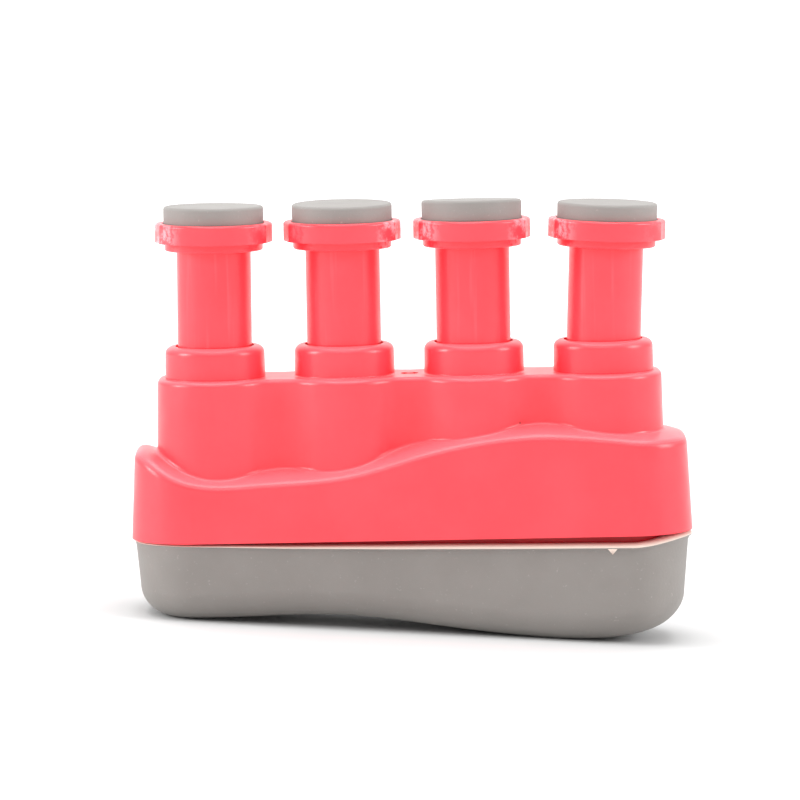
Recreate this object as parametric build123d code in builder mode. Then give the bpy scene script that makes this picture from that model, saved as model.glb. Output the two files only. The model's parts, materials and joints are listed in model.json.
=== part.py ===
"""Finger exerciser: four sprung buttons in one housing, on a contoured palm rest.

Millimetres, +Z up. X runs along the row of buttons, Y goes from the front to the back.
The origin is on the lowest point of the palm rest, under the middle of the row.
Each button is a tubular plunger with a finger cup and a rubber pad on top. It slides in
a guide boss of the housing against its own spring, which stands in the base shell.
"""
from build123d import *
from math import cos, radians, sin, tan
import os

os.makedirs("parts", exist_ok=True)

# The row of buttons
BUTTON_COUNT = 4
PITCH = 22.0
TRAVEL = 16.0
# How far each button stands off vertical towards +X, within the play of its guide
BUTTON_LEANS = (0.5, 0.0, 0.0, 2.4)
# How far each button stands below its full height, held down by the friction of its guide
BUTTON_DROPS = (0.0, 0.0, 0.0, 0.45)
# How far each pad is tipped back in its cup, in degrees
PAD_TIPS = (0.5, -1.0, 2.5, 0.0)

# Heights above the lowest point of the palm rest
SEAM_Z = 18.15
TOWER_TOP_Z = 45.0
BOSS_TOP_Z = 50.35
SPRING_SEAT_Z = 14.0

# Housing: skirt, tower and guide bosses
WALL = 2.0
SKIRT_LENGTH = 95.2
SKIRT_DEPTH = 28.5
SKIRT_CORNER = 10.5
SKIRT_DRAFT = 3.0
SKIRT_RISE = 24.0
LEDGE_ROUND = 1.5
LEDGE_CAVITY_ROUND = 0.8
# The ledge is crowned from front to back, about a line along X this far below its crest
CROWN_RADIUS = 46.0
CROWN_SPREAD = 33.0
# The crest of the ledge, from left to right: distance along X, height over the seam
LEDGE_POINTS = (
    (-49.0, 15.2),
    (-44.5, 14.95),
    (-40.0, 13.2),
    (-35.0, 12.0),
    (-26.0, 12.1),
    (-17.0, 12.5),
    (-9.0, 13.5),
    (1.0, 16.1),
    (11.0, 18.1),
    (21.0, 19.0),
    (31.0, 18.5),
    (41.0, 17.3),
    (45.5, 16.3),
    (49.0, 14.4),
)
LOBE_RADIUS = 10.35
LOBE_FORWARD = 1.2
WAIST_DEPTH = 15.0
TOWER_DRAFT = 1.2
TOWER_WALL = 1.65
TOWER_ROUND = 0.9
CREASE_ROUND = 0.6
BOSS_RADIUS = 8.5
BOSS_DRAFT = 1.0
BOSS_ROUND = 1.3
BOSS_FOOT_ROUND = 0.3
GUIDE_RADIUS = 6.7
GATE_RADIUS = 1.5
GATE_DEPTH = 0.5
GATE_NIB_RADIUS = 0.7

# Palm rest (soft boot) and base shell (hard tub inside it)
PALM_LENGTH = 94.0
PALM_DEPTH = 27.4
PALM_CORNER = 10.0
PALM_DRAFT = 5.0
PALM_ROUND = 5.5
TUB_ROUND = 4.5
BOOT_WALL = 2.2
RIM_GAP = 0.05
RIM_TILT = 0.7
# The underside that the heel of the hand meets: distance along X, drop below the seam
PALM_POINTS = (
    (-50.0, 12.6),
    (-39.0, 13.3),
    (-30.0, 13.35),
    (-18.0, 13.1),
    (-8.0, 13.65),
    (2.0, 15.1),
    (14.0, 16.9),
    (24.0, 17.95),
    (31.5, 18.15),
    (39.0, 17.2),
    (50.0, 12.2),
)
TUB_WALL = 2.0
TONGUE_HEIGHT = 3.0
TONGUE_WALL = 1.6
TONGUE_PLAY = 0.2
PEDESTAL_RADIUS = 4.8
POST_RADIUS = 2.5
POST_HEIGHT = 4.5
POST_CHAMFER = 0.6

# Screws and the columns that they pull together
SCREW_SPACING_X = 2 * PITCH
SCREW_SPACING_Y = 14.0
COLUMN_RADIUS = 2.9
TUB_COLUMN_RADIUS = 3.4
SCREW_RADIUS = 1.4
SCREW_LENGTH = 12.0
SCREW_TIP = 2.0
PILOT_RADIUS = 1.45
CLEARANCE_RADIUS = 1.65
HEAD_RADIUS = 2.6
HEAD_HEIGHT = 2.0
HEAD_ROUND = 0.8
HEAD_WELL_RADIUS = 2.9
HEAD_SEAT_Z = 12.5
RECESS_WIDTH = 0.7
RECESS_LENGTH = 3.0
RECESS_DEPTH = 1.2

# Plunger
STEM_RADIUS = 6.3
TUBE_RADIUS = 5.2
FLANGE_RADIUS = 7.25
FLANGE_HEIGHT = 2.0
FLANGE_PLAY = 0.5
CUP_SPARE = 0.25
STEM_CHAMFER = 0.4

# Finger cup and pad
SPIGOT_LENGTH = 5.0
SPIGOT_CHAMFER = 0.5
STEP_RADIUS = 8.35
STEP_HEIGHT = 1.4
STEP_ROUND = 0.3
COLLAR_RADIUS = 9.95
COLLAR_HEIGHT = 3.25
COLLAR_ROUND = 0.45
POCKET_RADIUS = 8.65
POCKET_DEPTH = 2.2
FLAT_DEPTH = 0.22
FLAT_TURN = 13.0
PAD_RADIUS = 8.5
PAD_PROUD = 2.8
PAD_ROUND = 0.5

# Spring
WIRE_RADIUS = 0.4
COIL_RADIUS = 3.5
COIL_TURNS = 13
SPRING_PLAY = 0.3

button_xs = [PITCH * (index - (BUTTON_COUNT - 1) / 2) for index in range(BUTTON_COUNT)]
guide_middle_z = (TOWER_TOP_Z + BOSS_TOP_Z) / 2
ceiling_z = TOWER_TOP_Z - WALL
cup_z = BOSS_TOP_Z + TRAVEL + CUP_SPARE
flange_z = ceiling_z - FLANGE_PLAY - FLANGE_HEIGHT
collar_z = cup_z + STEP_HEIGHT
pad_z = collar_z + COLLAR_HEIGHT - POCKET_DEPTH
pad_height = POCKET_DEPTH + PAD_PROUD
spigot_z = cup_z - SPIGOT_LENGTH
spring_top_z = spigot_z - SPRING_PLAY


def button_plane(index, height):
    """Plane square to a button's own line, at a height on a button that stands fully up.

    The line crosses the middle of the button's guide, and leans about that point.
    """
    lean = radians(BUTTON_LEANS[index])
    up = Vector(sin(lean), 0, cos(lean))
    guide_middle = Vector(button_xs[index], 0, guide_middle_z)
    origin = guide_middle + up * (height - BUTTON_DROPS[index] - guide_middle_z)
    return Plane(origin=origin, x_dir=(cos(lean), 0, -sin(lean)), z_dir=up)


def skirt_form(inset, edge_round):
    """Solid from the seam up to the ledge, set in all round from the outer surface."""
    axis_z = SEAM_Z + LEDGE_POINTS[0][1] - CROWN_RADIUS
    tip = radians(CROWN_SPREAD)
    start = Plane(origin=(0, 0, axis_z), x_dir=(1, 0, 0), z_dir=(0, -cos(tip), -sin(tip)))
    with BuildPart() as crown:
        with BuildSketch(start):
            with BuildLine():
                crest = Spline(*[(x, SEAM_Z + height - inset - axis_z) for x, height in LEDGE_POINTS])
                Polyline(crest @ 1, (LEDGE_POINTS[-1][0], WALL), (LEDGE_POINTS[0][0], WALL), crest @ 0)
            make_face()
        revolve(axis=Axis((0, 0, axis_z), (-1, 0, 0)), revolution_arc=2 * CROWN_SPREAD)
    with BuildPart() as form:
        with BuildSketch(Plane.XY.offset(SEAM_Z)):
            RectangleRounded(SKIRT_LENGTH - 2 * inset, SKIRT_DEPTH - 2 * inset, SKIRT_CORNER - inset)
        extrude(amount=SKIRT_RISE, taper=SKIRT_DRAFT)
        add(crown.part, mode=Mode.INTERSECT)
        ledge_face = form.faces().sort_by(Axis.Z)[-1]
        fillet(ledge_face.edges(), edge_round)
    return form.part


def tower_form(inset, height, top_round):
    """Solid of four lobes joined by smooth valleys, from the seam up.

    Each lobe is round at the front and the back, with a short flat between them at the ends.
    """
    lobe = LOBE_RADIUS - inset
    waist = WAIST_DEPTH / 2 - inset
    bite = waist - LOBE_FORWARD
    valley = ((PITCH / 2) ** 2 + bite**2 - lobe**2) / (2 * (lobe - bite))
    share = lobe / (lobe + valley)
    meet_x = PITCH / 2 * share
    meet_y = LOBE_FORWARD + (bite + valley) * share
    front = LOBE_FORWARD + lobe
    left = button_xs[0] - lobe
    right = button_xs[-1] + lobe
    with BuildPart() as form:
        with BuildSketch(Plane.XY.offset(SEAM_Z)):
            with BuildLine():
                Line((left, 0), (left, -LOBE_FORWARD))
                for x in button_xs:
                    start = (x - meet_x, -meet_y)
                    end = (x + meet_x, -meet_y)
                    if x == button_xs[0]:
                        start = (left, -LOBE_FORWARD)
                    if x == button_xs[-1]:
                        end = (right, -LOBE_FORWARD)
                    ThreePointArc(start, (x, -front), end)
                    if x != button_xs[-1]:
                        ThreePointArc(end, (x + PITCH / 2, -waist), (x + PITCH - meet_x, -meet_y))
                Line((right, -LOBE_FORWARD), (right, 0))
                mirror(about=Plane.XZ)
            make_face()
        extrude(amount=height, taper=TOWER_DRAFT)
        if top_round > 0:
            fillet(form.faces().sort_by(Axis.Z)[-1].edges(), top_round)
    return form.part


def palm_form(inset, edge_round, left_top, right_top):
    """Solid from the palm underside up to a straight top, set in from the boot's outer surface."""
    with BuildPart() as form:
        with BuildSketch(Plane(origin=(0, 0, SEAM_Z), z_dir=(0, 0, -1))):
            RectangleRounded(PALM_LENGTH - 2 * inset, PALM_DEPTH - 2 * inset, PALM_CORNER - inset)
        extrude(amount=SEAM_Z + 2, taper=PALM_DRAFT)
        with BuildSketch(Plane.XZ.offset(-PALM_DEPTH)):
            with BuildLine():
                under = Spline(*[(x, SEAM_Z - drop + inset) for x, drop in PALM_POINTS])
                top_right = (PALM_POINTS[-1][0], right_top)
                top_left = (PALM_POINTS[0][0], left_top)
                Polyline(under @ 1, top_right, top_left, under @ 0)
            make_face()
        extrude(amount=2 * PALM_DEPTH, mode=Mode.INTERSECT)
        under_face = form.faces().sort_by(Axis.Z)[0]
        fillet(under_face.edges(), edge_round)
    return form.part


def ring_form(inset, height):
    """Drafted solid inside the skirt, from the seam up."""
    with BuildPart() as form:
        with BuildSketch(Plane.XY.offset(SEAM_Z)):
            RectangleRounded(SKIRT_LENGTH - 2 * inset, SKIRT_DEPTH - 2 * inset, SKIRT_CORNER - inset)
        extrude(amount=height, taper=SKIRT_DRAFT)
    return form.part


def columns(radius, bottom_z, top_z, spacing_x, spacing_y, count_x, count_y, limit):
    """Upright round columns on a grid, kept inside a limiting solid."""
    with BuildPart() as group:
        with BuildSketch(Plane.XY.offset(bottom_z)):
            with GridLocations(spacing_x, spacing_y, count_x, count_y):
                Circle(radius)
        extrude(amount=top_z - bottom_z)
        add(limit, mode=Mode.INTERSECT)
    return group.part


def make_housing():
    """Upper shell: skirt, tower and guide bosses, hollow from below, with four screw columns."""
    tower_height = TOWER_TOP_Z - SEAM_Z
    skirt = skirt_form(0, LEDGE_ROUND)
    tower = tower_form(0, tower_height, TOWER_ROUND)
    skirt_cavity = skirt_form(WALL, LEDGE_CAVITY_ROUND)
    tower_cavity = tower_form(TOWER_WALL, ceiling_z - SEAM_Z, 0)
    screw_columns = columns(
        COLUMN_RADIUS, SEAM_Z, SEAM_Z + SKIRT_RISE,
        SCREW_SPACING_X, SCREW_SPACING_Y, 2, 2, skirt_form(WALL / 2, LEDGE_CAVITY_ROUND),
    )
    with BuildPart() as housing:
        add(skirt)
        add(tower)
        crease = new_edges(skirt, tower, combined=housing.part)
        fillet(crease.filter_by_position(Axis.Z, SEAM_Z + 1, TOWER_TOP_Z), CREASE_ROUND)
        with BuildSketch(Plane.XY.offset(TOWER_TOP_Z)):
            with GridLocations(PITCH, 0, BUTTON_COUNT, 1):
                Circle(BOSS_RADIUS)
        extrude(amount=BOSS_TOP_Z - TOWER_TOP_Z, taper=BOSS_DRAFT)
        boss_tops = housing.edges().group_by(Axis.Z)[-1]
        fillet(boss_tops, BOSS_ROUND)
        tower_top = housing.edges().filter_by_position(Axis.Z, TOWER_TOP_Z, TOWER_TOP_Z)
        boss_feet = [edge for edge in tower_top.filter_by(GeomType.CIRCLE) if edge.radius == BOSS_RADIUS]
        fillet(boss_feet, BOSS_FOOT_ROUND)
        add(skirt_cavity, mode=Mode.SUBTRACT)
        add(tower_cavity, mode=Mode.SUBTRACT)
        add(screw_columns)
        with BuildSketch(Plane.XY.offset(BOSS_TOP_Z)):
            with GridLocations(PITCH, 0, BUTTON_COUNT, 1):
                Circle(GUIDE_RADIUS)
        extrude(amount=-(BOSS_TOP_Z - ceiling_z), mode=Mode.SUBTRACT)
        with BuildSketch(Plane.XY.offset(TOWER_TOP_Z)):
            Circle(GATE_RADIUS)
            Circle(GATE_NIB_RADIUS, mode=Mode.SUBTRACT)
        extrude(amount=-GATE_DEPTH, mode=Mode.SUBTRACT)
        with BuildSketch(Plane.XY.offset(SEAM_Z)):
            with GridLocations(SCREW_SPACING_X, SCREW_SPACING_Y, 2, 2):
                Circle(PILOT_RADIUS)
        extrude(amount=HEAD_SEAT_Z + SCREW_LENGTH - SEAM_Z, mode=Mode.SUBTRACT)
    housing.part.label = "housing"
    return housing.part


def make_base_shell():
    """Hard tub with a tongue inside the skirt, four spring pedestals and four screw columns."""
    outer = palm_form(BOOT_WALL, TUB_ROUND, SEAM_Z, SEAM_Z)
    inner = palm_form(BOOT_WALL + TUB_WALL, TUB_ROUND, SEAM_Z, SEAM_Z)
    tongue = ring_form(WALL + TONGUE_PLAY, TONGUE_HEIGHT)
    tongue_inside = ring_form(WALL + TONGUE_PLAY + TONGUE_WALL, TONGUE_HEIGHT)
    floor_limit = palm_form(BOOT_WALL + TUB_WALL / 2, TUB_ROUND, SEAM_Z, SEAM_Z)
    pedestals = columns(
        PEDESTAL_RADIUS, 0, SPRING_SEAT_Z, PITCH, 0, BUTTON_COUNT, 1, floor_limit,
    )
    screw_columns = columns(
        TUB_COLUMN_RADIUS, 0, SEAM_Z, SCREW_SPACING_X, SCREW_SPACING_Y, 2, 2, floor_limit,
    )
    with BuildPart() as base_shell:
        add(outer)
        add(tongue)
        add(inner, mode=Mode.SUBTRACT)
        add(tongue_inside, mode=Mode.SUBTRACT)
        add(pedestals)
        add(screw_columns)
        with BuildSketch(Plane.XY.offset(SPRING_SEAT_Z)):
            with GridLocations(PITCH, 0, BUTTON_COUNT, 1):
                Circle(POST_RADIUS)
        extrude(amount=POST_HEIGHT)
        post_tops = base_shell.edges().filter_by_position(
            Axis.Z, SPRING_SEAT_Z + POST_HEIGHT, SPRING_SEAT_Z + POST_HEIGHT,
        )
        chamfer(post_tops, POST_CHAMFER)
        with BuildSketch(Plane.XY.offset(SEAM_Z)):
            with GridLocations(SCREW_SPACING_X, SCREW_SPACING_Y, 2, 2):
                Circle(CLEARANCE_RADIUS)
        extrude(amount=-SEAM_Z, mode=Mode.SUBTRACT)
        with BuildSketch(Plane.XY.offset(HEAD_SEAT_Z)):
            with GridLocations(SCREW_SPACING_X, SCREW_SPACING_Y, 2, 2):
                Circle(HEAD_WELL_RADIUS)
        extrude(amount=-HEAD_SEAT_Z, mode=Mode.SUBTRACT)
    base_shell.part.label = "base_shell"
    return base_shell.part


def make_palm_rest():
    """Soft boot over the base shell. Its rim drops away from the housing towards +X."""
    half_span = PALM_POINTS[-1][0]
    drop = 2 * half_span * tan(radians(RIM_TILT))
    outer = palm_form(0, PALM_ROUND, SEAM_Z - RIM_GAP, SEAM_Z - RIM_GAP - drop)
    inner = palm_form(BOOT_WALL, TUB_ROUND, SEAM_Z, SEAM_Z)
    with BuildPart() as palm_rest:
        add(outer)
        add(inner, mode=Mode.SUBTRACT)
    palm_rest.part.label = "palm_rest"
    return palm_rest.part


def make_screws():
    """Four self-tapping screws, pushed up from the tub into the housing's columns."""
    with BuildPart() as screw:
        with BuildSketch(Plane.XY.offset(HEAD_SEAT_Z - HEAD_HEIGHT)):
            Circle(HEAD_RADIUS)
        extrude(amount=HEAD_HEIGHT)
        fillet(screw.edges().sort_by(Axis.Z)[0], HEAD_ROUND)
        with BuildSketch(Plane.XY.offset(HEAD_SEAT_Z)):
            Circle(SCREW_RADIUS)
        extrude(amount=SCREW_LENGTH - SCREW_TIP)
        with BuildSketch(Plane.XY.offset(HEAD_SEAT_Z + SCREW_LENGTH - SCREW_TIP)):
            Circle(SCREW_RADIUS)
        with BuildSketch(Plane.XY.offset(HEAD_SEAT_Z + SCREW_LENGTH)):
            Circle(SCREW_RADIUS / 4)
        loft()
        with BuildSketch(Plane.XY.offset(HEAD_SEAT_Z - HEAD_HEIGHT)):
            Rectangle(RECESS_LENGTH, RECESS_WIDTH)
            Rectangle(RECESS_WIDTH, RECESS_LENGTH)
        extrude(amount=RECESS_DEPTH, mode=Mode.SUBTRACT)
    with BuildPart() as base_screws:
        with GridLocations(SCREW_SPACING_X, SCREW_SPACING_Y, 2, 2):
            add(screw.part)
    base_screws.part.label = "base_screws"
    return base_screws.part


def make_plunger(index):
    """Tube with a flange at its foot, which stops it under the tower's ceiling."""
    foot = button_plane(index, flange_z)
    with BuildPart() as plunger:
        with BuildSketch(foot):
            Circle(STEM_RADIUS)
        extrude(amount=cup_z - flange_z)
        with BuildSketch(foot):
            Circle(FLANGE_RADIUS)
        extrude(amount=FLANGE_HEIGHT)
        with BuildSketch(foot):
            Circle(TUBE_RADIUS)
        extrude(amount=cup_z - flange_z, mode=Mode.SUBTRACT)
        chamfer(plunger.faces().sort_by(Axis.Z)[0].edges(), STEM_CHAMFER)
    plunger.part.label = f"plunger_{index + 1}"
    return plunger.part


def make_finger_cup(index):
    """Spigot in the tube, step on the tube's end, and a collar with a pocket for the pad."""
    pocket_floor = button_plane(index, pad_z)
    with BuildPart() as cup:
        with BuildSketch(button_plane(index, spigot_z)):
            Circle(TUBE_RADIUS)
        extrude(amount=SPIGOT_LENGTH)
        chamfer(cup.edges().sort_by(Axis.Z)[0], SPIGOT_CHAMFER)
        with BuildSketch(button_plane(index, cup_z)):
            Circle(STEP_RADIUS)
        extrude(amount=STEP_HEIGHT)
        step_rims = cup.edges().filter_by(GeomType.CIRCLE).sort_by(SortBy.RADIUS)[-2:]
        fillet(step_rims.sort_by(Axis.Z)[0], STEP_ROUND)
        with BuildSketch(button_plane(index, collar_z)) as collar:
            Circle(COLLAR_RADIUS)
            for turn in (-FLAT_TURN, 180 + FLAT_TURN):
                with PolarLocations(2 * COLLAR_RADIUS - FLAT_DEPTH, 1, start_angle=turn):
                    Rectangle(2 * COLLAR_RADIUS, 2 * COLLAR_RADIUS, mode=Mode.SUBTRACT)
        extrude(amount=COLLAR_HEIGHT)
        collar_top = cup.faces().sort_by(Axis.Z)[-1]
        fillet(collar_top.edges(), COLLAR_ROUND)
        with BuildSketch(pocket_floor):
            Circle(POCKET_RADIUS)
        extrude(amount=POCKET_DEPTH, mode=Mode.SUBTRACT)
    cup.part.label = f"finger_cup_{index + 1}"
    return cup.part


def make_finger_pad(index):
    """Rubber disc that stands proud of the cup, tipped where one side is not pushed home."""
    tip = PAD_TIPS[index]
    lift = PAD_RADIUS * sin(radians(abs(tip)))
    seat = button_plane(index, pad_z + lift).rotated((-tip, 0, 0))
    with BuildPart() as pad:
        with BuildSketch(seat):
            Circle(PAD_RADIUS)
        extrude(amount=pad_height)
        fillet(pad.edges().filter_by(GeomType.CIRCLE).sort_by(Axis.Z)[-1], PAD_ROUND)
    pad.part.label = f"finger_pad_{index + 1}"
    return pad.part


def make_spring(index):
    """Compression spring with ground ends, upright on its pedestal."""
    length = spring_top_z - BUTTON_DROPS[index] - SPRING_SEAT_Z
    wound_length = length + 2 * WIRE_RADIUS
    start_z = SPRING_SEAT_Z - WIRE_RADIUS
    with BuildPart() as spring:
        with BuildLine() as coil:
            foot = (button_xs[index], 0, start_z)
            Helix(wound_length / COIL_TURNS, wound_length, COIL_RADIUS, center=foot)
        with BuildSketch(Plane(origin=coil.line @ 0, z_dir=coil.line % 0)):
            Circle(WIRE_RADIUS)
        sweep(is_frenet=True)
        with BuildSketch(Plane.XY.offset(SPRING_SEAT_Z)):
            with Locations((button_xs[index], 0)):
                Circle(2 * COIL_RADIUS)
        extrude(amount=length, mode=Mode.INTERSECT)
    spring.part.label = f"spring_{index + 1}"
    return spring.part


pieces = [make_housing(), make_base_shell(), make_palm_rest(), make_screws()]
for button in range(BUTTON_COUNT):
    pieces.append(make_plunger(button))
    pieces.append(make_finger_cup(button))
    pieces.append(make_finger_pad(button))
    pieces.append(make_spring(button))

for piece in pieces:
    export_step(piece, f"parts/{piece.label}.step")
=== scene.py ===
"""Finger exerciser: materials, soft parts, springs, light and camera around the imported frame.

Metres, +Z up, in the frame of the CAD model: X along the row of buttons, -Y is the front.
"""

import json
import math

import bmesh
import bpy
from mathutils import Matrix, Vector, noise
from mathutils.bvhtree import BVHTree


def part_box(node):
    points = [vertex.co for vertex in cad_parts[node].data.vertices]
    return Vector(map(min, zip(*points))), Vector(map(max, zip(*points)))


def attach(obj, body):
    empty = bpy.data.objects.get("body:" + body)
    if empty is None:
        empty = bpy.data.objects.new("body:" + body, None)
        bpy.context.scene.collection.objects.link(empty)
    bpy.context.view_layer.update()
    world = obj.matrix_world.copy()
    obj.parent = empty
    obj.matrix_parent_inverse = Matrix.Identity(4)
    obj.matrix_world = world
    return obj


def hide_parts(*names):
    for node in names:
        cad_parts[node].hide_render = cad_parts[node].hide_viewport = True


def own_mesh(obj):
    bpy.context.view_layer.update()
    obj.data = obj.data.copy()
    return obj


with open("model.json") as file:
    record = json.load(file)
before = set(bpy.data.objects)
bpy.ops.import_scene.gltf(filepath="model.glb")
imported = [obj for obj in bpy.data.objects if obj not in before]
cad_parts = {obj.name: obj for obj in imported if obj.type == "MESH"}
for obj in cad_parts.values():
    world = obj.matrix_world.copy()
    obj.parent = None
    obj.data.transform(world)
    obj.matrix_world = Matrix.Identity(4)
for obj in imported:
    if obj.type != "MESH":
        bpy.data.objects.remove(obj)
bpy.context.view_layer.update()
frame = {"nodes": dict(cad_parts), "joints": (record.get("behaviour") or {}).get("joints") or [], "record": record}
nodes = frame["nodes"]
record = frame["record"]

MM = 0.001
BUTTONS = range(1, 5)
FLOOR_GAP = 0.03 * MM

# Boot of the palm rest, as the CAD model has it
SEAM_Z = 18.15 * MM
PALM_HALF_LENGTH = 47.0 * MM
PALM_HALF_DEPTH = 13.7 * MM
PALM_CORNER = 10.0 * MM
PALM_DRAFT = math.radians(5.0)
PALM_ROUND = 5.5 * MM
BOOT_WALL = 2.2 * MM
TUB_ROUND = 4.5 * MM

# Tab of flash on the boot's lip
TAB_X = 33.6 * MM
TAB_HALF = 0.85 * MM
TAB_TOP = 16.1 * MM
TAB_TIP = 15.1 * MM

# Finger pads
PAD_RADIUS = 8.5 * MM
PAD_THICKNESS = 5.0 * MM
PAD_EDGE = 0.5 * MM

# Springs
WIRE_RADIUS = 0.4 * MM
ACTIVE_TURNS = 11
CLOSED_TURNS = 1.2

# Light and camera
LIGHT_AIM = Vector((0, 0, 40)) * MM
WORLD_WHITE = 0.72
CAMERA_AIM = Vector((-1.7, 0.0, 40.4)) * MM
CAMERA_DISTANCE = 0.95
CAMERA_ELEVATION = math.radians(6.2)
CAMERA_ROLL = math.radians(-1.05)
CAMERA_LENS = 251.2


# ---------------------------------------------------------------- node helpers


class Material:
    """A node material round one Principled shader, with short calls for common nodes."""

    def __init__(self, name):
        self.data = bpy.data.materials.new(name)
        self.data.use_nodes = True
        self.tree = self.data.node_tree
        self.shader = self.tree.nodes["Principled BSDF"]
        self.position = self.node("ShaderNodeTexCoord").outputs["Object"]

    def node(self, kind, **settings):
        made = self.tree.nodes.new(kind)
        for key, value in settings.items():
            setattr(made, key, value)
        return made

    def link(self, source, target):
        self.tree.links.new(source, target)

    def set(self, **values):
        """Constants on the shader's own sockets."""
        for key, value in values.items():
            self.shader.inputs[key.replace("_", " ")].default_value = value

    def math(self, operation, first, second=None, clamp=False):
        made = self.node("ShaderNodeMath", operation=operation, use_clamp=clamp)
        for socket, value in zip(made.inputs, (first, second)):
            if value is None:
                continue
            if hasattr(value, "is_linked"):
                self.link(value, socket)
            else:
                socket.default_value = value
        return made.outputs[0]

    def shifted(self, centre, scale=(1, 1, 1)):
        """Position relative to a point, stretched along the axes."""
        moved = self.node("ShaderNodeVectorMath", operation="SUBTRACT")
        self.link(self.position, moved.inputs[0])
        moved.inputs[1].default_value = centre
        stretched = self.node("ShaderNodeVectorMath", operation="MULTIPLY")
        self.link(moved.outputs[0], stretched.inputs[0])
        stretched.inputs[1].default_value = scale
        return stretched.outputs[0]

    def noise(self, scale, detail=3.0, roughness=0.5, vector=None):
        made = self.node("ShaderNodeTexNoise")
        self.link(vector or self.position, made.inputs["Vector"])
        made.inputs["Scale"].default_value = scale
        made.inputs["Detail"].default_value = detail
        made.inputs["Roughness"].default_value = roughness
        return made.outputs["Fac"]

    def ramp(self, value, low, high, low_to=0.0, high_to=1.0):
        """Smooth step of a value from low to high, sent to the range low_to to high_to."""
        made = self.node("ShaderNodeMapRange", interpolation_type="SMOOTHSTEP")
        self.link(value, made.inputs["Value"])
        made.inputs["From Min"].default_value = low
        made.inputs["From Max"].default_value = high
        made.inputs["To Min"].default_value = low_to
        made.inputs["To Max"].default_value = high_to
        return made.outputs["Result"]

    def mix(self, factor, first, second):
        made = self.node("ShaderNodeMix", data_type="RGBA")
        self.link(factor, made.inputs[0])
        for socket, value in ((made.inputs[6], first), (made.inputs[7], second)):
            if hasattr(value, "is_linked"):
                self.link(value, socket)
            else:
                socket.default_value = (*value, 1.0)
        return made.outputs[2]

    def bump(self, layers):
        """Bumps in metres: each layer is (height value, distance), chained on the normal."""
        normal = None
        for value, distance in layers:
            made = self.node("ShaderNodeBump")
            made.inputs["Strength"].default_value = 1.0
            made.inputs["Distance"].default_value = distance
            self.link(value, made.inputs["Height"])
            if normal is not None:
                self.link(normal, made.inputs["Normal"])
            normal = made.outputs["Normal"]
        self.link(normal, self.shader.inputs["Normal"])


# ---------------------------------------------------------------- materials

PINK = (0.99, 0.064, 0.086)
PINK_DEEP = (0.98, 0.055, 0.075)
PINK_WORN = (0.99, 0.22, 0.26)
PINK_PAINTED_HIGHLIGHT = (0.99, 0.20, 0.235)
WHITENED = (0.98, 0.50, 0.55)
INNER_PAINTED_SHADE = (0.60, 0.014, 0.026)
INNER_PAINTED_SHADE_DEEP = (0.5, 0.012, 0.02)
DUST = (0.56, 0.52, 0.48)
FLOOR_DARK = (0.65, 0.65, 0.65)
FLOOR_LIGHT = (0.67, 0.67, 0.67)
GREY = (0.236, 0.218, 0.203)
GREY_LIGHT = (0.262, 0.243, 0.227)
PAD_GREY = (0.255, 0.238, 0.224)
PAD_LIGHT = (0.275, 0.258, 0.243)
SPECK_RED = (0.20, 0.01, 0.01)
LIP_HIGHLIGHT_CREAM = (0.74, 0.60, 0.52)


def plastic_base(made, light, dark):
    """Moulded satin plastic: faint flow clouds in the colour and a few paler handling specks."""
    clouds = made.ramp(made.noise(70.0, 4.0, 0.6), 0.35, 0.68)
    colour = made.mix(clouds, dark, light)
    specks = made.ramp(made.noise(1300.0, 2.0, 0.6), 0.70, 0.80, 0.0, 0.05)
    return made.mix(specks, colour, PINK_WORN)


def plastic_surface(made, grain=4200.0):
    haze = made.noise(260.0, 3.0)
    roughness = made.ramp(haze, 0.3, 0.7, 0.29, 0.33)
    made.link(roughness, made.shader.inputs["Roughness"])
    made.bump([
        (made.noise(grain, 2.0), 0.000005),
        (made.noise(120.0, 2.0), 0.000015),
    ])
    made.set(IOR=1.5, Subsurface_Weight=0.12, Subsurface_Scale=0.0012)
    made.shader.inputs["Subsurface Radius"].default_value = (1.0, 0.25, 0.2)


def housing_material():
    made = Material("pink_plastic")
    colour = plastic_base(made, PINK, PINK_DEEP)
    # One dark speck in the moulding, low on the third lobe
    speck = made.node("ShaderNodeVectorMath", operation="DISTANCE")
    made.link(made.position, speck.inputs[0])
    speck.inputs[1].default_value = (18.4 * MM, -7.9 * MM, 37.0 * MM)
    spot = made.ramp(speck.outputs["Value"], 0.12 * MM, 0.42 * MM, 1.0, 0.0)
    colour = made.mix(spot, colour, SPECK_RED)
    # Painted highlight: a paler tint on faces that look up. It stands in for the broad soft highlight of a rounder
    # ledge edge
    facing = made.node("ShaderNodeSeparateXYZ")
    made.link(made.node("ShaderNodeNewGeometry").outputs["True Normal"], facing.inputs[0])
    colour = made.mix(made.ramp(facing.outputs["Z"], 0.25, 0.95, 0.0, 0.65), colour, PINK_PAINTED_HIGHLIGHT)
    made.link(colour, made.shader.inputs["Base Color"])
    plastic_surface(made)
    return made.data


def stem_material():
    """Drawn slightly finer than the housing, with faint rub lines along the travel."""
    made = Material("stem_plastic")
    colour = plastic_base(made, PINK, PINK_DEEP)
    rubs = made.noise(900.0, 2.0, 0.5, made.shifted((0, 0, 0), (1, 1, 0.05)))
    colour = made.mix(made.ramp(rubs, 0.55, 0.8, 0.0, 0.16), colour, PINK_WORN)
    made.link(colour, made.shader.inputs["Base Color"])
    plastic_surface(made, 5200.0)
    return made.data


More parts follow.
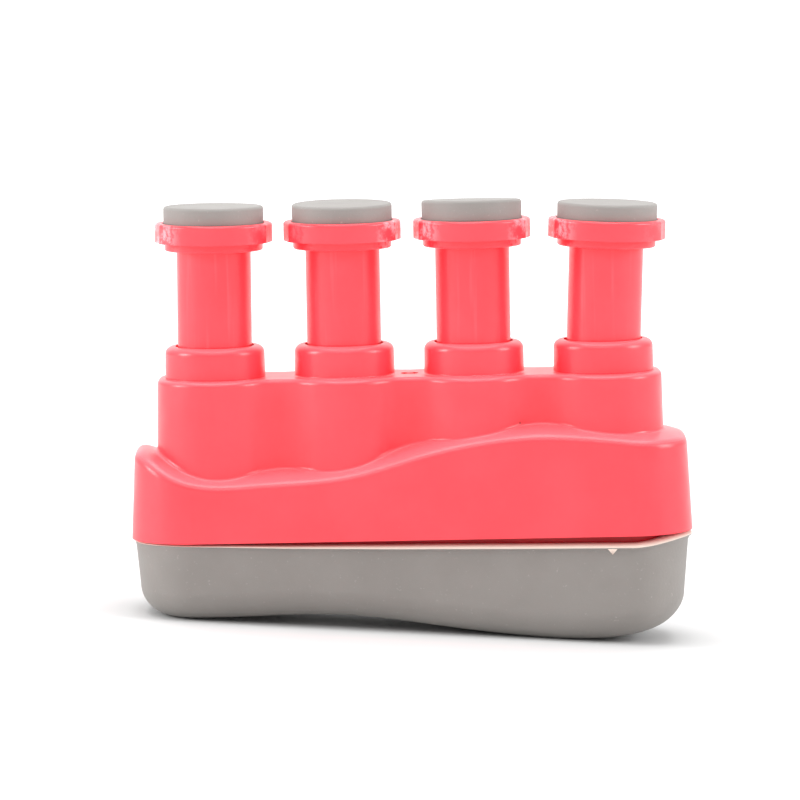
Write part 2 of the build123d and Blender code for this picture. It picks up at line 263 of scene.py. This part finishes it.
def cup_material(index, centre, radius, left, right):
    """Cup plastic with pale blotchy scuffs at its two ends, each of its own strength."""
    made = Material(f"cup_plastic_{index}")
    colour = plastic_base(made, PINK, PINK_DEEP)
    local = made.node("ShaderNodeSeparateXYZ")
    made.link(made.shifted(centre, (1 / radius, 1 / radius, 1 / radius)), local.inputs[0])
    across = local.outputs["X"]
    left_side = made.ramp(across, -0.50, -0.92, 0.0, left)
    right_side = made.ramp(across, 0.50, 0.92, 0.0, right)
    sides = made.math("ADD", left_side, right_side)
    streaks = made.noise(1100.0, 4.0, 0.7, made.shifted(centre, (1, 1, 0.7)))
    blotches = made.noise(430.0, 4.0, 0.65, made.shifted(centre))
    broken = made.math("MULTIPLY", made.ramp(streaks, 0.36, 0.56), made.ramp(blotches, 0.42, 0.56))
    scuff = made.math("MULTIPLY", sides, broken, clamp=True)
    colour = made.mix(scuff, colour, WHITENED)
    made.link(colour, made.shader.inputs["Base Color"])
    plastic_surface(made)
    return made.data


def inner_material():
    made = Material("inner_plastic")
    # Painted shade: the inner shell is painted deep red instead of the housing's pink, for the shadow it lies in
    # within the gap under the housing
    clouds = made.ramp(made.noise(120.0, 3.0), 0.35, 0.65)
    made.link(made.mix(clouds, INNER_PAINTED_SHADE, INNER_PAINTED_SHADE_DEEP), made.shader.inputs["Base Color"])
    made.link(made.ramp(made.noise(400.0, 2.0), 0.3, 0.7, 0.42, 0.55), made.shader.inputs["Roughness"])
    made.bump([(made.noise(2600.0, 2.0), 0.00002)])
    return made.data


def rubber_material(name, dark, light, grain, roughness, top_highlight):
    """Soft elastomer: cloudy grey, matt, with a fine pebbled skin and a little dust."""
    made = Material(name)
    clouds = made.ramp(made.noise(55.0, 5.0, 0.6), 0.32, 0.70)
    colour = made.mix(clouds, dark, light)
    dust = made.ramp(made.noise(1500.0, 3.0, 0.7), 0.62, 0.80, 0.0, 0.35)
    colour = made.mix(dust, colour, DUST)
    # Painted highlight: faces that look up are tinted the lip's pale cream, by the share in the last argument
    facing = made.node("ShaderNodeSeparateXYZ")
    made.link(made.node("ShaderNodeNewGeometry").outputs["True Normal"], facing.inputs[0])
    colour = made.mix(made.ramp(facing.outputs["Z"], 0.05, 0.50, 0.0, top_highlight), colour, LIP_HIGHLIGHT_CREAM)
    made.link(colour, made.shader.inputs["Base Color"])
    patchy = made.noise(180.0, 3.0)
    gloss = made.ramp(patchy, 0.3, 0.7, roughness - 0.05, roughness + 0.06)
    made.link(gloss, made.shader.inputs["Roughness"])
    made.bump([
        (made.noise(grain, 2.0), 0.00003),
        (made.noise(220.0, 3.0), 0.00004),
    ])
    made.set(IOR=1.45, Sheen_Weight=0.12, Sheen_Roughness=0.5)
    return made.data


def steel_material(name, tint, along):
    """Drawn or plated steel with fine lines and a little oil haze."""
    made = Material(name)
    lines = made.noise(2500.0, 2.0, 0.6, made.shifted((0, 0, 0), along))
    colour = made.mix(made.ramp(lines, 0.3, 0.7), tuple(0.8 * c for c in tint), tint)
    made.link(colour, made.shader.inputs["Base Color"])
    made.link(made.ramp(made.noise(600.0, 3.0), 0.3, 0.7, 0.22, 0.40), made.shader.inputs["Roughness"])
    made.bump([(lines, 0.00001)])
    made.set(Metallic=1.0)
    return made.data


def floor_material():
    made = Material("studio_floor")
    paper = made.ramp(made.noise(6.0, 2.0), 0.3, 0.7)
    made.link(made.mix(paper, FLOOR_DARK, FLOOR_LIGHT), made.shader.inputs["Base Color"])
    # The floor gives off light of its own, more so further off. This whitens it and thins the soft shadows
    away = made.node("ShaderNodeVectorMath", operation="LENGTH")
    made.link(made.shifted((0, 0, 0), (1, 1.5, 1)), away.inputs[0])
    near = made.ramp(away.outputs["Value"], 0.040, 0.075, 0.0, 0.15)
    far = made.ramp(away.outputs["Value"], 0.10, 1.3, 0.0, 0.55)
    made.link(made.math("ADD", near, far), made.shader.inputs["Emission Strength"])
    made.set(Roughness=0.7, Specular_IOR_Level=0.1, Emission_Color=(1.0, 1.0, 1.0, 1.0))
    return made.data


def paint(piece, material):
    piece.data.materials.clear()
    piece.data.materials.append(material)


# ---------------------------------------------------------------- mesh helpers


def new_piece(name, verts, faces, material, body=None):
    mesh = bpy.data.meshes.new(name)
    mesh.from_pydata([tuple(v) for v in verts], [], faces)
    tidy = bmesh.new()
    tidy.from_mesh(mesh)
    bmesh.ops.recalc_face_normals(tidy, faces=tidy.faces)
    tidy.to_mesh(mesh)
    tidy.free()
    for polygon in mesh.polygons:
        polygon.use_smooth = True
    piece = bpy.data.objects.new(name, mesh)
    bpy.context.scene.collection.objects.link(piece)
    paint(piece, material)
    if body:
        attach(piece, body)
    return piece


def weld_piece(piece, reach):
    """Merge points closer than reach, such as a ring that has shrunk to its middle."""
    weld = bmesh.new()
    weld.from_mesh(piece.data)
    bmesh.ops.remove_doubles(weld, verts=weld.verts, dist=reach)
    bmesh.ops.recalc_face_normals(weld, faces=weld.faces)
    weld.to_mesh(piece.data)
    weld.free()


def ring_faces(rings, count):
    """Quads between neighbouring rings of count points each."""
    faces = []
    for row in range(rings - 1):
        for step in range(count):
            after = (step + 1) % count
            here = row * count
            there = here + count
            faces.append((here + step, here + after, there + after, there + step))
    return faces


def smoothstep(value, low, high):
    share = min(1.0, max(0.0, (value - low) / (high - low)))
    return share * share * (3 - 2 * share)


# ---------------------------------------------------------------- palm rest


def rounded_outline(share, half_length, half_depth, corner):
    """Point and outward normal at a share of the way round a rounded rectangle."""
    straight_x = half_length - corner
    straight_y = half_depth - corner
    arc = math.pi / 2 * corner
    total = 4 * (straight_x + straight_y + arc)
    way = share * total
    runs = (
        (2 * straight_x, "line", (-straight_x, -half_depth), (1, 0)),
        (arc, "arc", (straight_x, -straight_y), -math.pi / 2),
        (2 * straight_y, "line", (half_length, -straight_y), (0, 1)),
        (arc, "arc", (straight_x, straight_y), 0.0),
        (2 * straight_x, "line", (straight_x, half_depth), (-1, 0)),
        (arc, "arc", (-straight_x, straight_y), math.pi / 2),
        (2 * straight_y, "line", (-half_length, straight_y), (0, -1)),
        (arc, "arc", (-straight_x, -straight_y), math.pi),
    )
    for length, kind, place, course in runs:
        if way > length:
            way -= length
            continue
        if kind == "line":
            point = Vector((place[0] + course[0] * way, place[1] + course[1] * way))
            return point, Vector((course[1], -course[0]))
        angle = course + way / corner
        normal = Vector((math.cos(angle), math.sin(angle)))
        return Vector(place) + normal * corner, normal
    return Vector((-straight_x, -half_depth)), Vector((0, -1))


def underside_profile(samples=97, smoothing=3):
    """Heights of the CAD boot's underside along its middle, as a function of X."""
    cad = nodes["palm_rest"]
    points = [vertex.co[:] for vertex in cad.data.vertices]
    polygons = [polygon.vertices[:] for polygon in cad.data.polygons]
    tree = BVHTree.FromPolygons(points, polygons)
    reach = PALM_HALF_LENGTH - PALM_ROUND - 2 * MM
    xs = [reach * (2 * i / (samples - 1) - 1) for i in range(samples)]
    heights = []
    for x in xs:
        hits = [tree.ray_cast(Vector((x, y, -0.05)), Vector((0, 0, 1)))[0].z for y in (-0.003, 0.0, 0.003)]
        heights.append(sum(hits) / len(hits))
    for _ in range(smoothing):
        inner = [(heights[i - 1] + 2 * heights[i] + heights[i + 1]) / 4 for i in range(1, samples - 1)]
        heights = [heights[0], *inner, heights[-1]]

    def height(x):
        at = (x + reach) / (2 * reach) * (samples - 1)
        if at <= 0:
            slope = heights[1] - heights[0]
            return heights[0] + slope * at
        if at >= samples - 1:
            slope = heights[-1] - heights[-2]
            return heights[-1] + slope * (at - samples + 1)
        low = int(at)
        part = at - low
        before = heights[max(low - 1, 0)]
        after = heights[min(low + 2, samples - 1)]
        first, second = heights[low], heights[low + 1]
        # Catmull-Rom between the samples
        return 0.5 * (
            2 * first
            + (second - before) * part
            + (2 * before - 5 * first + 4 * second - after) * part**2
            + (3 * first - before - 3 * second + after) * part**3
        )

    return height


def rim_height(x, y):
    """The boot's rim: against the housing at -X, hanging 1 mm open towards +X, closed again at the end."""
    slack = 0.36 * MM * smoothstep(x, -44 * MM, -20 * MM) + 0.0125 * max(0.0, x + 30 * MM)
    closing = 1 - smoothstep(x, 37 * MM, 47.2 * MM)
    wobble = 0.04 * MM * noise.noise(Vector((x * 90, y * 90, 3.0)))
    return SEAM_Z - 0.12 * MM - slack * closing + wobble


def boot_section(share, height):
    """The boot's wall from the rim's inner lip, over the rim, down outside and under to the middle line."""
    point, normal = rounded_outline(share, PALM_HALF_LENGTH, PALM_HALF_DEPTH, PALM_CORNER)
    top = rim_height(point.x, point.y)
    lip = 0.10 * MM + 0.04 * MM * noise.noise(Vector((point.x * 160, point.y * 160, 0.0)))
    lip += 0.36 * MM * smoothstep(point.x, -42 * MM, -28 * MM)
    lip += 0.05 * MM * smoothstep(point.x, 43 * MM, 46.6 * MM)
    tall = 0.35 * MM + 0.5 * MM * smoothstep(point.x, -42 * MM, 10 * MM)
    section = []

    def place(inset, z):
        spot = point - normal * inset
        section.append(Vector((spot.x, spot.y, z)))

    def draft(z):
        return (SEAM_Z - z) * math.tan(PALM_DRAFT)

    # Rim: inner edge, flat top, a slope out to the lip of flash, back in under it, then the wall
    place(BOOT_WALL, top - 0.25 * MM)
    place(BOOT_WALL - 0.12 * MM, top - 0.06 * MM)
    place(BOOT_WALL - 0.35 * MM, top)
    place(1.1 * MM, top)
    place(0.6 * MM, top - 0.08 * tall)
    place(0.2 * MM - 0.5 * lip, top - 0.28 * tall)
    place(0.05 * MM - 0.85 * lip, top - 0.52 * tall)
    place(-lip, top - 0.78 * tall)
    place(0.03 * MM - lip, top - 0.95 * tall)
    foot = top - tall
    place(draft(foot) - 0.6 * lip, foot - 0.10 * MM)
    place(draft(foot - 0.4 * MM) - 0.25 * lip, foot - 0.4 * MM)
    place(draft(foot - 0.9 * MM), foot - 0.9 * MM)
    low = height(point.x * 0.93)
    arc_top = low + PALM_ROUND
    wall_rows = 6
    start_z = foot - 1.6 * MM
    for row in range(wall_rows):
        z = start_z + (arc_top - start_z) * row / wall_rows
        place(draft(z), z)
    arc_rows = 14
    start_inset = draft(arc_top)
    for row in range(arc_rows + 1):
        turn = math.pi / 2 * row / arc_rows
        inset = start_inset + PALM_ROUND * (1 - math.cos(turn))
        spot = point - normal * inset
        local = height(spot.x)
        blend = math.sin(turn)
        base = low + (local - low) * blend
        section.append(Vector((spot.x, spot.y, base + PALM_ROUND * (1 - math.sin(turn)))))
    return section


def make_palm_rest(material):
    """A closed boot: outer skin from the rim to the middle of the underside, and the lining on the tub."""
    height = underside_profile()
    count = 720
    sections = [boot_section(step / count, height) for step in range(count)]
    verts = []
    rows = len(sections[0])
    for row in range(rows):
        verts.extend(section[row] for section in sections)
    spine = PALM_HALF_LENGTH - PALM_HALF_DEPTH
    fill_rows = 9
    for row in range(1, fill_rows + 1):
        share = row / fill_rows
        for section in sections:
            edge = section[-1]
            middle_x = max(-spine, min(spine, edge.x))
            x = edge.x + (middle_x - edge.x) * share
            y = edge.y * (1 - share)
            verts.append(Vector((x, y, height(x))))
    outer_rows = rows + fill_rows

    # Lining: the rim's inner edge down the tub's wall, round its edge and under it
    lining = []
    for step in range(count):
        point, normal = rounded_outline(step / count, PALM_HALF_LENGTH, PALM_HALF_DEPTH, PALM_CORNER)
        low = height(point.x * 0.93) + BOOT_WALL
        arc_top = low + TUB_ROUND
        column = []
        inset = BOOT_WALL + (SEAM_Z - arc_top) * math.tan(PALM_DRAFT)
        for row in range(9):
            turn = math.pi / 2 * row / 8
            spot = point - normal * (inset + TUB_ROUND * (1 - math.cos(turn)))
            base = low + (height(spot.x) + BOOT_WALL - low) * math.sin(turn)
            column.append(Vector((spot.x, spot.y, base + TUB_ROUND * (1 - math.sin(turn)))))
        edge = column[-1]
        middle_x = max(-spine, min(spine, edge.x))
        for row in range(1, 5):
            share = row / 4
            x = edge.x + (middle_x - edge.x) * share
            column.append(Vector((x, edge.y * (1 - share), height(x) + BOOT_WALL)))
        lining.append(column)
    lining_rows = len(lining[0])
    lining_start = len(verts)
    for row in range(lining_rows):
        verts.extend(column[row] for column in lining)

    faces = ring_faces(outer_rows, count)
    faces += [tuple(lining_start + i for i in face) for face in ring_faces(lining_rows, count)]
    for step in range(count):
        after = (step + 1) % count
        faces.append((step, lining_start + step, lining_start + after, after))
    piece = new_piece("palm_boot", verts, faces, material, "frame")
    weld_piece(piece, 0.02 * MM)
    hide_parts("palm_rest")

    # A torn tab of flash that hangs from the lip at the front: a wedge with its point down
    tab = []
    for top_y, tip_y in ((-14.12 * MM, -14.22 * MM), (-13.3 * MM, -13.3 * MM)):
        tab.append((TAB_X - TAB_HALF, top_y, TAB_TOP))
        tab.append((TAB_X + TAB_HALF, top_y, TAB_TOP))
        tab.append((TAB_X, tip_y, TAB_TIP))
    sides = ((0, 1, 2), (5, 4, 3), (0, 2, 5, 3), (1, 4, 5, 2), (0, 3, 4, 1))
    # The tab is painted all over in the pale cream of the lip's painted highlight
    flash = rubber_material("grip_flash", LIP_HIGHLIGHT_CREAM, LIP_HIGHLIGHT_CREAM, 1900.0, 0.5, 0.0)
    new_piece("flash_tab", tab, sides, flash, "frame")
    return height


# ---------------------------------------------------------------- finger pads


def make_pad(index, material):
    """Rubber disc with a soft edge, a slightly crowned top and faint moulding steps, on its cup's tilt."""
    mount = next(m for m in record["mounts"] if m["name"] == f"pad_top_{index}")
    top = Vector(mount["pos_m"])
    up = Vector(mount["axis"]).normalized()
    across = Vector((1, 0, 0))
    across = (across - up * across.dot(up)).normalized()
    deep = up.cross(across)
    flat = PAD_RADIUS - PAD_EDGE
    # Each step of the profile is (distance out from the middle, height above the mount)
    profile = [(0.0, 0.0)]
    for share in (0.3, 0.55, 0.75, 0.88):
        profile.append((flat * share, -0.03 * MM * share**2))
    steps = 9
    for step in range(steps + 1):
        turn = math.pi / 2 * step / steps
        profile.append((flat + PAD_EDGE * math.sin(turn), -0.04 * MM - PAD_EDGE * (1 - math.cos(turn))))
    foot = -PAD_THICKNESS + 0.02 * MM
    profile.append((PAD_RADIUS - 0.01 * MM, -2.0 * MM))
    profile.append((PAD_RADIUS - 0.03 * MM, -3.2 * MM))
    profile.append((PAD_RADIUS - 0.08 * MM, -PAD_THICKNESS + 0.3 * MM))
    profile.append((PAD_RADIUS - 0.35 * MM, foot))
    profile.append((PAD_RADIUS * 0.6, foot))
    profile.append((0.0, foot))
    count = 128
    verts = []
    for out, drop in profile:
        for step in range(count):
            turn = 2 * math.pi * step / count
            place = Vector((math.cos(turn) * 2, math.sin(turn) * 2, index * 5 + drop * 300))
            wave = 0.02 * MM * noise.noise(place)
            reach = max(0.0, out - abs(wave) * (out > 0))
            sideways = across * (math.cos(turn) * reach) + deep * (math.sin(turn) * reach)
            verts.append(top + sideways + up * drop)
    faces = ring_faces(len(profile), count)
    piece = new_piece(f"pad_disc_{index}", verts, faces, material, f"button_{index}")
    weld_piece(piece, 0.005 * MM)
    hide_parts(f"finger_pad_{index}")


# ---------------------------------------------------------------- springs


def make_spring(index, material):
    """Wound wire with two closed end coils, spanning the height of its CAD part."""
    name = f"spring_{index}"
    low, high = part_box(name)
    centre = (low + high) / 2
    coil_radius = (high.y - low.y) / 2 - WIRE_RADIUS
    length = high.z - low.z
    closed_rise = 2.05 * WIRE_RADIUS * CLOSED_TURNS
    active_rise = length - 2 * WIRE_RADIUS - 2 * closed_rise
    turns = ACTIVE_TURNS + 2 * CLOSED_TURNS
    around = 12
    steps = int(turns * 40)
    path = []
    for step in range(steps + 1):
        turn = turns * step / steps
        if turn < CLOSED_TURNS:
            rise = closed_rise * turn / CLOSED_TURNS
        elif turn < turns - CLOSED_TURNS:
            rise = closed_rise + active_rise * (turn - CLOSED_TURNS) / ACTIVE_TURNS
        else:
            rise = closed_rise + active_rise + closed_rise * (turn - turns + CLOSED_TURNS) / CLOSED_TURNS
        angle = 2 * math.pi * turn
        path.append(Vector((
            centre.x + coil_radius * math.cos(angle),
            centre.y + coil_radius * math.sin(angle),
            low.z + WIRE_RADIUS + rise,
        )))
    verts = []
    for step, point in enumerate(path):
        outward = Vector((point.x - centre.x, point.y - centre.y, 0)).normalized()
        along = (path[min(step + 1, steps)] - path[max(step - 1, 0)]).normalized()
        side = along.cross(outward).normalized()
        out = side.cross(along)
        for corner in range(around):
            angle = 2 * math.pi * corner / around
            verts.append(point + (out * math.cos(angle) + side * math.sin(angle)) * WIRE_RADIUS)
    faces = ring_faces(len(path), around)
    faces.append(tuple(range(around)))
    faces.append(tuple(len(path) * around - 1 - i for i in range(around)))
    piece = new_piece(f"spring_coil_{index}", verts, faces, material, "frame")
    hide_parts(name)
    joint = next(j for j in frame["joints"] if j["name"] == f"button_{index}_slide")
    travel = max(joint["range_m"]) * abs(joint["axis"][2])
    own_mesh(piece)


# ---------------------------------------------------------------- floor, light and camera


def resting_slope(height):
    """Slope of the table under the boot's two low humps, and the height where it crosses X = 0."""
    reach = PALM_HALF_LENGTH - PALM_ROUND
    points = [(x * MM, height(x * MM)) for x in range(int(-reach / MM), int(reach / MM) + 1)]
    hull = []
    for point in points:
        while len(hull) > 1:
            (ax, az), (bx, bz) = hull[-2], hull[-1]
            if (bx - ax) * (point[1] - az) - (bz - az) * (point[0] - ax) > 0:
                break
            hull.pop()
        hull.append(point)
    for (ax, az), (bx, bz) in zip(hull, hull[1:]):
        if ax <= 0 <= bx:
            slope = (bz - az) / (bx - ax)
            return slope, az - slope * ax
    return 0.0, 0.0


def make_floor(height):
    slope, level = resting_slope(height)
    level -= FLOOR_GAP
    reach_x, front, back = 3.0, -2.0, 4.0
    verts = []
    rows = 48
    bend = 0.9
    for row in range(rows + 1):
        share = row / rows
        y = front + (back - front) * share
        up = 0.0
        if y > back - bend:
            turn = (y - (back - bend)) / bend * math.pi / 2
            y = back - bend + bend * math.sin(turn)
            up = bend * (1 - math.cos(turn))
        for x in (-reach_x, reach_x):
            verts.append((x, y, level + slope * x + up))
    for x in (-reach_x, reach_x):
        verts.append((x, back, level + slope * x + 3.0))
    faces = [(2 * i, 2 * i + 1, 2 * i + 3, 2 * i + 2) for i in range(rows + 1)]
    floor = new_piece("studio_sweep", verts, faces, floor_material())


def softbox(name, place, width, tall, power):
    """Rectangular light that faces the part."""
    light = bpy.data.lights.new(name, "AREA")
    light.shape = "RECTANGLE"
    light.size = width
    light.size_y = tall
    light.energy = power
    lamp = bpy.data.objects.new(name, light)
    bpy.context.scene.collection.objects.link(lamp)
    lamp.location = place
    lamp.rotation_euler = (LIGHT_AIM - Vector(place)).to_track_quat("-Z", "Y").to_euler()


def make_light():
    world = bpy.data.worlds.new("studio")
    bpy.context.scene.world = world
    world.use_nodes = True
    background = world.node_tree.nodes["Background"]
    background.inputs["Color"].default_value = (1.0, 1.0, 1.0, 1.0)
    background.inputs["Strength"].default_value = WORLD_WHITE
    softbox("left_softbox", (-1.15, -0.22, 0.50), 0.5, 0.5, 9.0)
    softbox("right_softbox", (1.10, -0.22, 0.50), 0.5, 0.5, 7.5)
    softbox("front_softbox", (-0.10, -0.95, 0.95), 1.1, 0.22, 2.4)
    softbox("top_softbox", (0.0, 0.05, 1.2), 1.0, 1.0, 11.0)
    bpy.context.scene.view_settings.view_transform = "Standard"


def make_camera():
    back = Vector((0, -math.cos(CAMERA_ELEVATION), math.sin(CAMERA_ELEVATION)))
    lens = bpy.data.cameras.new("camera")
    lens.lens = CAMERA_LENS
    lens.sensor_width = 36
    lens.clip_start = 0.01
    camera = bpy.data.objects.new("camera", lens)
    bpy.context.scene.collection.objects.link(camera)
    camera.rotation_mode = "QUATERNION"
    camera.location = CAMERA_AIM + back * CAMERA_DISTANCE
    look = (-back).to_track_quat("-Z", "Y")
    camera.rotation_quaternion = look @ Matrix.Rotation(CAMERA_ROLL, 3, "Z").to_quaternion()
    bpy.context.scene.camera = camera


# ---------------------------------------------------------------- put together

paint(nodes["housing"], housing_material())
smooth = nodes["housing"].modifiers.new("smooth", "WEIGHTED_NORMAL")
smooth.keep_sharp = True
paint(nodes["base_shell"], inner_material())
paint(nodes["base_screws"], steel_material("screw_steel", (0.62, 0.61, 0.60), (1, 1, 0.2)))
stem = stem_material()
pad_rubber = rubber_material("grey_pad", PAD_GREY, PAD_LIGHT, 2400.0, 0.62, 0.0)
spring_steel = steel_material("spring_steel", (0.58, 0.58, 0.60), (0.3, 0.3, 1))
CUP_SCUFFS = ((0.85, 0.25), (0.2, 0.9), (0.9, 0.7), (0.8, 0.15))
for button in BUTTONS:
    paint(nodes[f"plunger_{button}"], stem)
    cup_low, cup_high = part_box(f"finger_cup_{button}")
    cup_centre = (cup_low + cup_high) / 2
    cup_radius = (cup_high.y - cup_low.y) / 2
    worn_left, worn_right = CUP_SCUFFS[button - 1]
    paint(nodes[f"finger_cup_{button}"], cup_material(button, cup_centre, cup_radius, worn_left, worn_right))
    make_pad(button, pad_rubber)
    make_spring(button, spring_steel)
underside = make_palm_rest(rubber_material("grey_grip", GREY, GREY_LIGHT, 1900.0, 0.58, 0.9))
make_floor(underside)
make_light()
make_camera()
